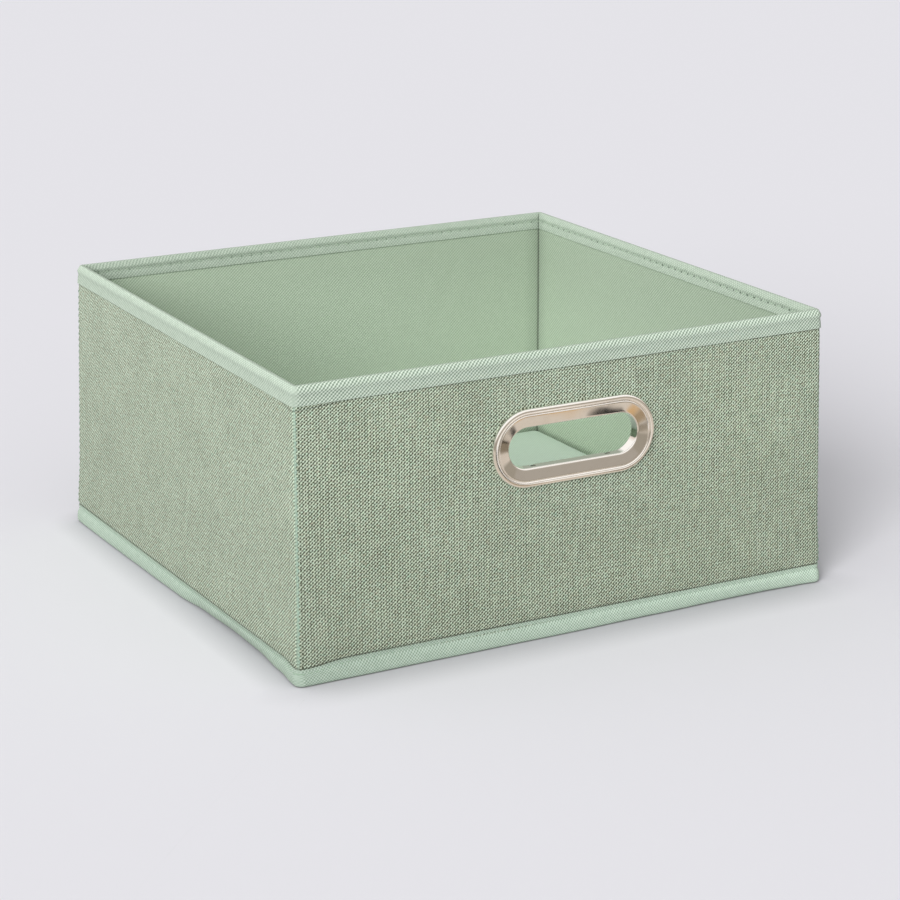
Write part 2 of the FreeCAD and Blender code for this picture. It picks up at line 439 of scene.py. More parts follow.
def pressed_web() -> bpy.types.NodeTree:
    """Relief of a spunbonded non-woven: small pressed dots in slanting rows, and loose fibres.

    Returns:
        A group that takes the cloth's own metres, the dots' cycles per metre across and up it
        and the weight of their rising rows, and gives Height, Dots and Fibre.
    """
    wiring, given = new_group("pressed_web", Across=500.0, Up=520.0, Rising=0.7)
    where = wiring.wander(given["Vector"], 160.0, 1.0, 0.1 * MM)
    across = wiring.along(where, X_AXIS) * given["Across"] * math.tau
    up = wiring.along(where, Y_AXIS) * given["Up"] * math.tau
    rising = wiring.math("COSINE", across - up) * given["Rising"]
    falling = wiring.math("COSINE", across + up) * (1.0 - given["Rising"])
    dots = (rising + falling) * 0.5 + 0.5
    fibre = wiring.noise(given["Vector"], 1500.0, 4.0, 0.7)
    return wiring.give(Height=dots * 0.8 + fibre * 0.35, Dots=dots, Fibre=fibre)


def needle_row() -> bpy.types.NodeTree:
    """Needle holes along a sewn line.

    Returns:
        A group that takes the cloth's own metres, the line's place up the cloth, the stitch
        length and a hole's radius, and gives Hole.
    """
    wiring, given = new_group("needle_row", Line=0.01, Stitch=0.0035, Radius=0.0005)
    stitches = wiring.along(given["Vector"], X_AXIS) / given["Stitch"]
    on = (wiring.math("FRACT", stitches) - 0.5) * given["Stitch"]
    off = wiring.along(given["Vector"], Y_AXIS) - given["Line"]
    reach = wiring.math("SQRT", on * on + off * off)
    return wiring.give(Hole=(reach / given["Radius"]).spread(0.5, 1.2, 1.0, 0.0))


def handled_shade() -> bpy.types.NodeTree:
    """Broad unevenness of colour on a surface that has been handled.

    Returns:
        A group that takes a place and a strength, and gives Shade, around 1.
    """
    wiring, given = new_group("handled_shade", Strength=0.05)
    broad = wiring.noise(given["Vector"], 14.0, 3.0, 0.55) - 0.5
    fine = wiring.noise(given["Vector"], 120.0, 4.0, 0.65) - 0.5
    return wiring.give(Shade=(broad + fine * 0.6) * given["Strength"] + 1.0)


class Finishes:
    """What the finishes share: the node groups and the grey board, each made once."""

    def __init__(self) -> None:
        """Builds them."""
        self.weave = linen_weave()
        self.web = pressed_web()
        self.needle = needle_row()
        self.handled = handled_shade()
        self.board = GreyBoard().make()


def blank_tree(owner: bpy.types.ID) -> bpy.types.NodeTree:
    """The emptied node tree of a material or a world."""
    owner.use_nodes = True
    owner.node_tree.nodes.clear()
    return owner.node_tree


class Paint(Wiring):
    """A new material that is wired from its coordinates to its shader."""

    def __init__(self, name: str) -> None:
        """Makes the material with nothing in it but its shader and output."""
        self.material = bpy.data.materials.new(name)
        super().__init__(blank_tree(self.material))
        self.shader = self.tree.nodes.new("ShaderNodeBsdfPrincipled")
        self.shine("ShaderNodeOutputMaterial", Signal(self, self.shader.outputs["BSDF"]))
        self.place = self.tap("ShaderNodeTexCoord", "Object", {})
        self.colour: object = None

    def cloth(self) -> Signal:
        """The cloth's own metres."""
        return self.tap("ShaderNodeUVMap", "UV", {}, uv_map="cloth")

    def mark(self, name: str) -> Signal:
        """A value that the mesh carries at its points."""
        return self.tap("ShaderNodeAttribute", "Fac", {}, attribute_name=name)

    def tint(self, share: Signal, colour: object) -> None:
        """Mixes a share of another colour into the colour."""
        self.colour = self.mix(share, self.colour, colour)

    def dim(self, value: object) -> None:
        """Multiplies the colour by a value."""
        grey = self.tap("ShaderNodeCombineColor", 0, {0: value, 1: value, 2: value})
        self.colour = self.mix(1.0, self.colour, grey, "MULTIPLY")

    def done(
        self, roughness: object, height: Optional[Signal] = None, depth: float = 0.0, strength: float = 1.0,
        **levels: float,
    ) -> bpy.types.Material:
        """Feeds the shader.

        Args:
            roughness: its roughness.
            height: the relief, if there is one, from 0 to about 1.
            depth, strength: the relief's depth in metres and its strength.
            levels: plain values for other inputs, with underscores for the spaces in their names.

        Returns:
            The material.
        """
        values = {"Base Color": self.colour, "Roughness": roughness}
        if height:
            values["Normal"] = self.tap(
                "ShaderNodeBump", "Normal", {"Distance": depth, "Strength": strength, "Height": height}
            )
        for name, value in {**values, **levels}.items():
            self.feed(self.shader.inputs[name.replace("_", " ")], value)
        return self.material


@dataclass(frozen=True)
class WovenCloth:
    """Sage linen-look cloth of the outside."""

    light: Colour = srgb(199, 215, 194)
    dark: Colour = srgb(51, 58, 34)
    brown: Colour = srgb(157, 141, 116)
    mint: Colour = srgb(159, 192, 171)
    seam: Colour = srgb(146, 170, 154)

    def make(self, finishes: Finishes) -> bpy.types.Material:
        """Builds the material."""
        paint = Paint("woven_sage_cloth")
        cloth = paint.cloth()
        weave = paint.use(finishes.weave, Vector=cloth)
        tint = paint.mix(weave["Warmth"] * 0.55, self.light, self.brown)
        tint = paint.mix(paint.noise(cloth, 420.0, 1.0).spread(0.55, 0.75, 0.0, 0.5), tint, self.mint)
        # The left wall's weave looks looser, since it is seen at a flat angle.
        left = paint.along(paint.place, X_AXIS).spread(-0.1500, -0.1470, 1.0, 0.0)
        loose = (paint.noise(cloth, 1150.0, 2.0, 0.6) - 0.5) * left * 0.55
        thread = (weave["Thread"] - 0.5) * (left * -0.38 + 1.0) + 0.5 + loose
        share = thread.spread(0.22, 0.80)
        paint.colour = paint.mix(share, self.dark, tint)
        turned = paint.tap(
            "ShaderNodeCombineXYZ", 0, {"X": paint.along(cloth, Y_AXIS), "Y": paint.along(cloth, X_AXIS)}
        )
        sewn = paint.use(finishes.needle, Vector=turned, Line=1.9 * MM, Stitch=3.5 * MM, Radius=0.45 * MM)
        paint.tint(sewn["Hole"], self.dark)
        paint.dim(paint.use(finishes.handled, Vector=paint.place, Strength=0.05)["Shade"])
        paint.tint(paint.mark("bend").spread(0.75, 1.0, 0.0, 0.6), self.seam)
        # Painted shade: dark lines on the cover along the hem tape and the rim tape, where the tapes' edges shade
        # it.
        above = paint.mark("above_hem")
        rim = above - (SIZE.height - SIZE.rim_outside - SIZE.hem - 0.4 * MM)
        for edge, at, least in ((above, 0.5 * MM, 0.42), (rim, 0.0, 0.62)):
            paint.dim(abs(edge - at).spread(0.2 * MM, 0.6 * MM, least, 1.0))
        # Painted light and shade: darker towards the bottom, lighter towards the top.
        paint.dim(paint.along(paint.place, Z_AXIS).spread(0.0, 0.14, 0.90, 1.08))
        return paint.done(
            share.spread(0.0, 1.0, 0.95, 0.78), weave["Height"], 0.28 * MM, 0.8,
            Specular_IOR_Level=0.25, Sheen_Weight=0.08,
        )


@dataclass(frozen=True)
class LightSlope:
    """Painted light and shade that change along a direction through the basket, from one place to another."""

    direction: Triple = X_AXIS
    start: float = -1.0
    end: float = 1.0
    first: float = 1.0
    last: float = 1.0


@dataclass(frozen=True)
class NonWoven:
    """Spunbonded non-woven, as lining or as binding tape.

    across, up and rising are the pressed dots' cycles per metre and the weight of their rising
    rows, dots their contrast and depth their relief. crease is painted shade in the corners from
    crease_from up the cloth, within reach of a corner. The painted shading is painted shade on the
    bends, deep is painted light that lightens what lies low, and the light slope is painted light and
    shade along a direction. pressed holds the tape's foot, its sewn line and its fold, in metres up
    the cloth, and with it the tape gets a painted highlight towards its fold and painted shade below
    and past it. Each row is a sewn line's place, stitch length and hole radius.
    """

    name: str
    light: Colour
    dark: Colour
    across: float = 500.0
    up: float = 520.0
    rising: float = 0.7
    dots: float = 0.5
    depth: float = 0.08 * MM
    rows: tuple[Triple, ...] = ()
    hole: Colour = srgb(66, 86, 68)
    crease: float = 0.0
    crease_from: float = -1.0
    reach: float = 1.2 * MM
    painted_shading: float = 0.0
    deep: float = 1.0
    pressed: tuple[float, ...] = ()
    light_slope: LightSlope = LightSlope()

    def make(self, finishes: Finishes) -> bpy.types.Material:
        """Builds the material."""
        paint = Paint(self.name)
        cloth = paint.cloth()
        up = paint.along(cloth, Y_AXIS)
        bend = paint.mark("bend")
        web = paint.use(finishes.web, Vector=cloth, Across=self.across, Up=self.up, Rising=self.rising)
        flat = (bend * -0.8 + 1.0).held()
        contrast = flat * self.dots
        if self.pressed:
            fold = self.pressed[2]
            left = paint.along(paint.place, X_AXIS).spread(-0.1505, -0.1475, 0.42, 1.0)
            contrast = contrast * up.spread(fold + MM, fold + 3 * MM, 1.0, 0.42) * left
        share = (web["Dots"] - 0.5) * contrast + 0.5 + (web["Fibre"] - 0.5) * 0.5
        share = (share + (paint.noise(cloth, 330.0, 3.0, 0.6) - 0.5) * 0.35).held()
        paint.colour = paint.mix(share, self.dark, self.light)
        # Painted shade in the corners and on the bends.
        paint.dim(1.0 - (self.corner_shade(paint, up) + bend * self.painted_shading))
        # Painted highlight towards the tape's fold, and painted shade below it and past it.
        if self.pressed:
            low, line, fold = self.pressed
            painted_shading = up.spread(low, line, 0.92, 0.86) + up.spread(line, fold, 0.0, 0.22)
            paint.dim(painted_shading + up.spread(fold + MM, fold + 4 * MM) * -0.11)
        # Painted light and shade along a direction through the basket.
        light_slope = self.light_slope
        place = paint.along(paint.place, light_slope.direction)
        paint.dim(place.spread(light_slope.start, light_slope.end, light_slope.first, light_slope.last))
        # Painted light: the cloth that lies low is lightened, against the shade it lies in.
        paint.dim(paint.along(paint.place, Z_AXIS).spread(0.03, 0.13, self.deep, 1.0))
        height = web["Height"] * flat
        for line, stitch, radius in self.rows:
            hole = paint.use(finishes.needle, Vector=cloth, Line=line, Stitch=stitch, Radius=radius)["Hole"]
            paint.tint(hole * paint.noise(cloth, 70.0, 1.0).spread(0.40, 0.58), self.hole)
            height = height - hole * 2.5
        paint.dim(paint.use(finishes.handled, Vector=paint.place, Strength=0.06)["Shade"])
        return paint.done(
            web["Dots"].spread(0.0, 1.0, 0.72, 0.88), height, self.depth, Specular_IOR_Level=0.3
        )

    def corner_shade(self, paint: Paint, up: Signal) -> Signal:
        """Painted shade in the corners: a narrow dark crease line with broad soft shade at its sides.

        Args:
            paint: the material's wiring.
            up: metres up the cloth.

        Returns:
            The share of light that they lose.
        """
        away = paint.mark("from_corner")
        inside = up.spread(self.crease_from, self.crease_from + MM)
        sharp = away.spread(self.reach - 0.9 * MM, self.reach, 1.0, 0.0) * inside
        broad = away.spread(self.reach, self.reach + 9 * MM, 0.16, 0.0) * inside
        return sharp * self.crease + broad * min(1.0, 3 * self.crease)


@dataclass(frozen=True)
class NickelPlate:
    """Polished nickel plate on stamped steel, with faint draw ripples and wiping marks."""

    name: str = "polished_nickel"
    colour: Colour = srgb(253, 250, 247)
    smeared: Colour = srgb(236, 230, 222)

    def make(self) -> bpy.types.Material:
        """Builds the material."""
        paint = Paint(self.name)
        smear = paint.noise(paint.place, 90.0, 4.0, 0.6)
        paint.colour = paint.mix(smear.spread(0.45, 0.8, 0.0, 0.35), self.colour, self.smeared)
        ripple = paint.noise(paint.place, 60.0, 1.0, 0.4)
        return paint.done(smear.spread(0.3, 0.8, 0.03, 0.12), ripple, 0.2 * MM, 0.5, Metallic=1.0)


@dataclass(frozen=True)
class GreyBoard:
    """Grey-brown board of pressed waste paper."""

    light: Colour = srgb(176, 162, 138)
    dark: Colour = srgb(132, 118, 96)

    def make(self) -> bpy.types.Material:
        """Builds the material."""
        paint = Paint("grey_board")
        grain = paint.grain(paint.place, (420.0, 420.0, 1260.0), 5.0, 0.7)
        share = (grain * 0.7 + paint.noise(paint.place, 1400.0) * 0.4).held()
        paint.colour = paint.mix(share, self.dark, self.light)
        return paint.done(0.92, share, 0.06 * MM)


@dataclass(frozen=True)
class SpunThread:
    """Matt polyester sewing thread with its twist."""

    name: str
    colour: Colour

    def make(self) -> bpy.types.Material:
        """Builds the material."""
        paint = Paint(self.name)
        twist = {"Vector": paint.place, "Scale": 1500.0, "Distortion": 1.5}
        ply = paint.tap("ShaderNodeTexWave", "Fac", twist, bands_direction="DIAGONAL")
        share = (ply * 0.35 + paint.noise(paint.place, 2500.0, 2.0, 0.6) * 0.6).held()
        dark = (*(0.62 * part for part in self.colour[:3]), 1.0)
        paint.colour = paint.mix(share, dark, self.colour)
        return paint.done(0.7, share, 0.05 * MM)


# ---------------------------------------------------------------- places round the walls


@dataclass(frozen=True)
class Station:
    """One place round the walls.

    side is the wall, share runs from -1 to 1 along its straight part, turn is the angle past the
    end of the straight, in radians, and run is the distance from the start in metres.
    """

    side: Side
    share: float
    turn: float
    run: float


@dataclass(frozen=True)
class Lean:
    """How the cloth box stands off its true outline, in millimetres at each corner.

    foot and rim are the corner's shift at the table and at the rim, and sag is how far the rim
    sinks there. A used basket splays a little at the foot.
    """

    foot: tuple[Pair, ...] = ((-1.4, -0.3), (3.5, -3.5), (0.6, 0.6), (-4.2, 4.2))
    rim: tuple[Pair, ...] = ((-1.0, -0.3), (0.1, -0.1), (-0.5, -0.2), (0.5, -0.4))
    sag: tuple[float, ...] = (2.1, 1.5, 0.0, 0.3)
    sag_from: float = 0.77

    def moved(self, point: Vector) -> Vector:
        """The point with the splay of its place added.

        Args:
            point: a place on the true outline, in metres.

        Returns:
            The place on the splayed one.
        """
        across, back, up = (
            min(1.0, max(0.0, share))
            for share in (point.x / SIZE.width + 0.5, point.y / SIZE.depth + 0.5, point.z / SIZE.height)
        )
        shares = ((1 - across) * (1 - back), across * (1 - back), across * back, (1 - across) * back)
        x, y = (
            sum(w * (f[axis] + (r[axis] - f[axis]) * up) for w, f, r in zip(shares, self.foot, self.rim))
            for axis in (0, 1)
        )
        z = -sum(w * s for w, s in zip(shares, self.sag)) * smooth_step(self.sag_from, 1.0, up)
        return point + Vector((x, y, z)) * MM


LEAN = Lean()


def faced(side: Side, place: Vector) -> Vector:
    """A place or direction on the front wall, turned to another wall."""
    return Matrix.Rotation(side.value * math.pi / 2, 3, "Z") @ place


@dataclass(frozen=True)
class Plan:
    """The basket's outline from above, with rounded corners."""

    tightest: float = 0.35 * MM
    step: float = 2.5 * MM

    def spans(self, side: Side) -> Pair:
        """Length of a wall and the distance across to the opposite one."""
        if side in (Side.FRONT, Side.BACK):
            return SIZE.width, SIZE.depth
        return SIZE.depth, SIZE.width

    def point(self, station: Station, inset: float, height: float) -> Vector:
        """The point at a station, so far in from the cover and so high.

        Args:
            station: the place round the walls.
            inset: metres inwards from the cover's face.
            height: metres above the table.

        Returns:
            The point in the basket's frame.
        """
        length, across = self.spans(station.side)
        radius = max(SIZE.corner - inset, self.tightest)
        x = (length / 2 - inset - radius) * station.share
        y = -(across / 2 - inset - radius)
        if station.turn:
            x += math.copysign(radius * math.sin(abs(station.turn)), station.share)
        y -= radius * math.cos(station.turn)
        return LEAN.moved(faced(station.side, Vector((x, y, height))))

    def outward(self, station: Station) -> Vector:
        """Level direction out of the wall at a station."""
        angle = math.copysign(station.turn, station.share) if station.turn else 0.0
        return faced(station.side, Vector((math.sin(angle), -math.cos(angle), 0.0)))

    def straight(self, side: Side, step: float, start: float) -> tuple[list[Station], float]:
        """Stations along a wall's straight part.

        Args:
            side: the wall.
            step: about how far apart the stations are.
            start: the distance gone before it.

        Returns:
            The stations, and the distance gone at its end.
        """
        length = self.spans(side)[0] - 2 * SIZE.corner
        count = max(2, round(length / step))
        found = [Station(side, -1 + 2 * i / count, 0.0, start + length * i / count) for i in range(count + 1)]
        return found, start + length

    def wall(self, side: Side, turns: int = 5) -> list[Station]:
        """Stations along one wall, from the middle of one corner to the middle of the next."""
        eighth = math.pi / 4
        arc = SIZE.corner * eighth
        before = [Station(side, -1.0, eighth * (1 - i / turns), arc * i / turns) for i in range(turns)]
        along, gone = self.straight(side, self.step, arc)
        after = [Station(side, 1.0, eighth * i / turns, gone + arc * i / turns) for i in range(1, turns + 1)]
        return before + along + after

    def ring(self, step: float, turns: int = 8) -> list[Station]:
        """Stations once round all the walls, the last one at the place of the first."""
        found: list[Station] = []
        gone = 0.0
        quarter = math.pi / 2
        arc = SIZE.corner * quarter
        for side in Side:
            along, gone = self.straight(side, step, gone)
            found += along
            found += [Station(side, 1.0, quarter * i / turns, gone + arc * i / turns) for i in range(1, turns)]
            gone += arc
        return [*found, Station(Side.FRONT, -1.0, 0.0, gone)]


PLAN = Plan()
Form = Callable[[Station, Pair], Pair]


def lay_cloth(name: str, stations: list[Station], profile: list[Pair], form: Form) -> bpy.types.Object:
    """Bends a grid of cloth round the walls.

    The grid's columns go to the stations and its rows to the profile. The cloth's own metres
    are kept in the UV map called cloth, and its points carry how far they are bent, how high
    they lie above the hem tape and how far from a corner.

    Args:
        name: the piece's name.
        stations: places round the walls, left to right as seen from outside.
        profile: (inset, height) points over the cloth's outer face, so that outside is on their left.
        form: moves a profile point at a station.

    Returns:
        The open sheet.
    """
    columns, rows = len(stations) - 1, len(profile) - 1
    piece = add("grid", name, x_subdivisions=columns, y_subdivisions=rows, size=1.0)
    mesh = piece.data
    up = [0.0]
    for before, after in zip(profile, profile[1:]):
        up.append(up[-1] + math.dist(before, after))
    cells = [(round((v.co.x + 0.5) * columns), round((v.co.y + 0.5) * rows)) for v in mesh.vertices]
    map_cloth(mesh, lambda number: (stations[cells[number][0]].run, up[cells[number][1]]))
    marks: dict[str, list[float]] = {"bend": [], "above_hem": [], "from_corner": []}
    for vertex, (i, j) in zip(mesh.vertices, cells):
        station = stations[i]
        vertex.co = PLAN.point(station, *form(station, profile[j]))
        half = PLAN.spans(station.side)[0] / 2 - SIZE.corner
        past = SIZE.corner * abs(math.pi / 4 - station.turn)
        marks["bend"].append(abs(math.sin(2 * station.turn)))
        marks["above_hem"].append(profile[j][1] - hem_edge(station))
        marks["from_corner"].append((1 - abs(station.share)) * half + past)
    for mark, values in marks.items():
        mesh.attributes.new(mark, "FLOAT", "POINT").data.foreach_set("value", values)
    return piece


# How far the hem's foot stands out, in millimetres, at shares along each wall.
HEM_SET: dict[Side, tuple[Pair, ...]] = {
    Side.FRONT: ((-1.0, 2.2), (0.0, 1.2), (0.35, -0.2), (0.6, -1.0), (0.78, -1.4), (0.94, -0.5), (1.0, 0.4)),
    Side.RIGHT: ((-1.0, 0.4), (-0.4, 1.4), (0.3, 0.6), (1.0, 1.2)),
    Side.BACK: ((-1.0, 1.2), (0.2, 1.6), (1.0, 0.5)),
    Side.LEFT: (
        (-1.0, 0.5), (-0.77, 0.8), (-0.5, 0.2), (-0.26, 0.0), (0.0, -0.5), (0.22, -3.2), (0.44, -4.3),
        (0.65, -3.7), (0.87, -1.1), (1.0, 1.0),
    ),
}


def hem_set(station: Station) -> float:
    """How far the foot of the hem stands out from the wall above it at a station, in metres."""
    knots = HEM_SET[station.side]
    if station.turn:
        onward = 1 if station.share > 0 else -1
        own, other = (-1, 0) if onward > 0 else (0, -1)
        beside = HEM_SET[Side((station.side.value + onward) % 4)]
        return MM * (knots[own][1] + (beside[other][1] - knots[own][1]) * station.turn / (math.pi / 2))
    for (low, before), (high, after) in zip(knots, knots[1:]):
        if station.share <= high:
            return MM * (before + (after - before) * smooth_step(low, high, station.share))
    return MM * knots[-1][1]


def hem_edge(station: Station, drop: float = 1.9 * MM) -> float:
    """Height of the hem tape's top edge at a station: it runs down a little at the near corner."""
    near = 0.0
    if station.side is Side.FRONT:
        near = smooth_step(-0.82, -1.0, station.share)
    elif station.side is Side.LEFT:
        near = smooth_step(0.90, 1.0, station.share)
    return SIZE.hem - drop * near


def rim_squeeze(height: float) -> float:
    """How much the wall is squeezed together at a height near the rim, from 0 to 1."""
    return smooth_step(3.5 * MM, 0.3 * MM, SIZE.height - height)


def flare_at(station: Station, height: float) -> float:
    """How far the hem stands out, or in, at a station and a height."""
    return hem_set(station) * max(0.0, 1 - height / SIZE.hem) ** 1.2


def even(line: list[Pair], step: float) -> list[Pair]:
    """Points along a line at about even steps, with its own points kept."""
    found = [line[0]]
    for (x0, y0), (x1, y1) in zip(line, line[1:]):
        count = max(1, round(math.dist((x0, y0), (x1, y1)) / step))
        found += [(x0 + (x1 - x0) * i / count, y0 + (y1 - y0) * i / count) for i in range(1, count + 1)]
    return found


def rounded(line: list[Triple], step: float) -> list[Pair]:
    """Points along a line of (a, b, radius) whose corners are rounded to arcs.

    Args:
        line: the line's corners with their radii, the ends with none.
        step: length of the flats that an arc is made of.

    Returns:
        The points.
    """
    found: list[Pair] = []
    for i, (a, b, radius) in enumerate(line):
        if i in (0, len(line) - 1) or radius <= 0:
            found.append((a, b))
            continue
        here = Vector((a, b))
        back = (Vector(line[i - 1][:2]) - here).normalized()
        ahead = (Vector(line[i + 1][:2]) - here).normalized()
        half = back.angle(ahead) / 2
        centre = here + (back + ahead).normalized() * (radius / math.sin(half))
        start = here + back * (radius / math.tan(half)) - centre
        sweep = (math.pi - 2 * half) * (1 if back.cross(ahead) < 0 else -1)
        count = max(2, round(radius * abs(sweep) / step))
        found += [tuple(centre + Matrix.Rotation(sweep * k / count, 2) @ start) for k in range(count + 1)]
    return found


def soft_noise(run: float, height: float, seed: float) -> float:
    """Slow smooth noise about zero over a wall, in half units."""
    return noise.noise(Vector((run * 9.0, height * 9.0, seed)))


# ---------------------------------------------------------------- walls


@dataclass(frozen=True)
class WallCloth:
    """One of a wall's two cloths."""

    name: str
    slot: Slot
    finish: bpy.types.Material
    profile: list[Pair]
    form: Form
    thickness: float


@dataclass
class Walls:
    """The woven covers, the linings and the boards of the four walls."""

    finishes: Finishes
    slot_room: float = 2.0 * MM
    squeeze: float = 0.81 * MM
    pillow: float = 0.22 * MM
    slack: float = 0.85 * MM
    board_drop: float = 3.5 * MM

    def cover_form(self, station: Station, point: Pair) -> Pair:
        """The cover's face: flat on its board, pressed in under the rim tape, out at the hem."""
        inset, height = point
        wall = station.side.value
        pillow = self.pillow * soft_noise(station.run + 3 * wall, height, 1.7)
        pressed = 0.12 * MM * smooth_step(138 * MM, 141 * MM, height) + self.squeeze * rim_squeeze(height)
        slack = self.slack * smooth_step(9.4 * MM, 12.4 * MM, height) * smooth_step(36 * MM, 14 * MM, height)
        slack *= 0.8 + 0.6 * soft_noise(station.run, 0.0, 4.0 + wall)
        return inset - flare_at(station, height) - pillow + pressed - slack, height

    def lining_form(self, station: Station, point: Pair) -> Pair:
        """The lining: a little loose between the rim and the floor, with soft wrinkles at the back."""
        inset, height = point
        free = smooth_step(12 * MM, 30 * MM, height) * smooth_step(146 * MM, 128 * MM, height)
        loose = 0.35 * MM * soft_noise(station.run * 1.6, height * 0.7, 9.0 + station.side.value)
        if station.side is Side.BACK:
            wrinkles = math.sin((station.run + 0.4 * height) * 330)
            loose += 0.07 * MM * wrinkles * bell(station.run, 70 * MM, 20 * MM)
        pinch = 0.9 * MM * (station.turn / (math.pi / 4)) ** 3
        squeezed = self.squeeze * rim_squeeze(height)
        return inset - flare_at(station, height) + free * loose - pinch - squeezed, height

    def open_slot(self, piece: bpy.types.Object) -> None:
        """Cuts the oval slot out of a piece of the front wall."""
        sides = 66
        cutter = add(
            "cylinder", vertices=sides, radius=SIZE.slot_r + self.slot_room, depth=30 * MM,
            location=(0, -SIZE.depth / 2, SIZE.slot_z), rotation=(math.pi / 2, math.pi / sides, 0),
        )
        keep_place()
        for vertex in cutter.data.vertices:
            vertex.co.x += math.copysign(SIZE.slot_half, vertex.co.x)
        cut(piece, cutter)

    def make_cloth(self, side: Side, cloth: WallCloth) -> None:
        """Builds a wall's cover or lining."""
        wall = side.name.lower()
        piece = lay_cloth(f"{wall}_{cloth.name}_cloth", PLAN.wall(side), cloth.profile, cloth.form)
        finish_with(piece, "SOLIDIFY", thickness=cloth.thickness, offset=-1.0)
        if side is Side.FRONT:
            self.open_slot(piece)
        settle(piece)
        hand_over(piece, cloth.slot, cloth.finish, nodes=[f"{wall}_{cloth.name}"])
        length, _ = PLAN.spans(side)

    def make_board(self, side: Side) -> None:
        """Builds one stiffening board, bevelled by its guillotine, in its pocket."""
        name = f"{side.name.lower()}_board"
        low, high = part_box(name)
        high.z -= self.board_drop
        piece = add("cube", f"{name}_panel", size=1.0, location=(low + high) / 2, scale=tuple(high - low))
        keep_place()
        with editing(piece):
            bpy.ops.mesh.bevel(offset=0.2 * MM, segments=1)
            for axis in (0, 1, 2):
                if high[axis] - low[axis] > 5 * MM:
                    slice_open_mesh(axis, low[axis], high[axis], 12)
        for vertex in piece.data.vertices:
            vertex.co = LEAN.moved(vertex.co)
        if side is Side.FRONT:
            self.open_slot(piece)
        settle(piece, 40)
        hand_over(piece, Slot.WALL_BOARD, self.finishes.board, nodes=[name])

    def build(self) -> None:
        """Builds all eight panels and the boards between them."""
        inner = SIZE.wall - SIZE.lining
        woven = WovenCloth().make(self.finishes)
        line = [(0.0, SIZE.seam_foot), (0.0, SIZE.hem), (0.0, SIZE.wall_top)]
        cover = WallCloth("cover", Slot.WOVEN, woven, even(line, 3 * MM), self.cover_form, SIZE.cover)
        web = NonWoven(
            "lining_non_woven", srgb(184, 197, 179), srgb(141, 159, 136), rising=0.22, dots=1.1,
            crease=0.45, reach=3.1 * MM, deep=1.26, light_slope=LightSlope((1.0, -0.2, 0.0), -0.234, 0.234, 1.20, 0.84),
        ).make(self.finishes)
        line = [(SIZE.cover, SIZE.seam_foot), (SIZE.cover, SIZE.hem), (inner, SIZE.pocket), (inner, SIZE.wall_top)]
        lining = WallCloth("lining", Slot.LINING, web, even(line, 3.5 * MM), self.lining_form, SIZE.lining)
        for side in Side:
            self.make_cloth(side, cover)
            self.make_cloth(side, lining)
            self.make_board(side)


# ---------------------------------------------------------------- bound edges


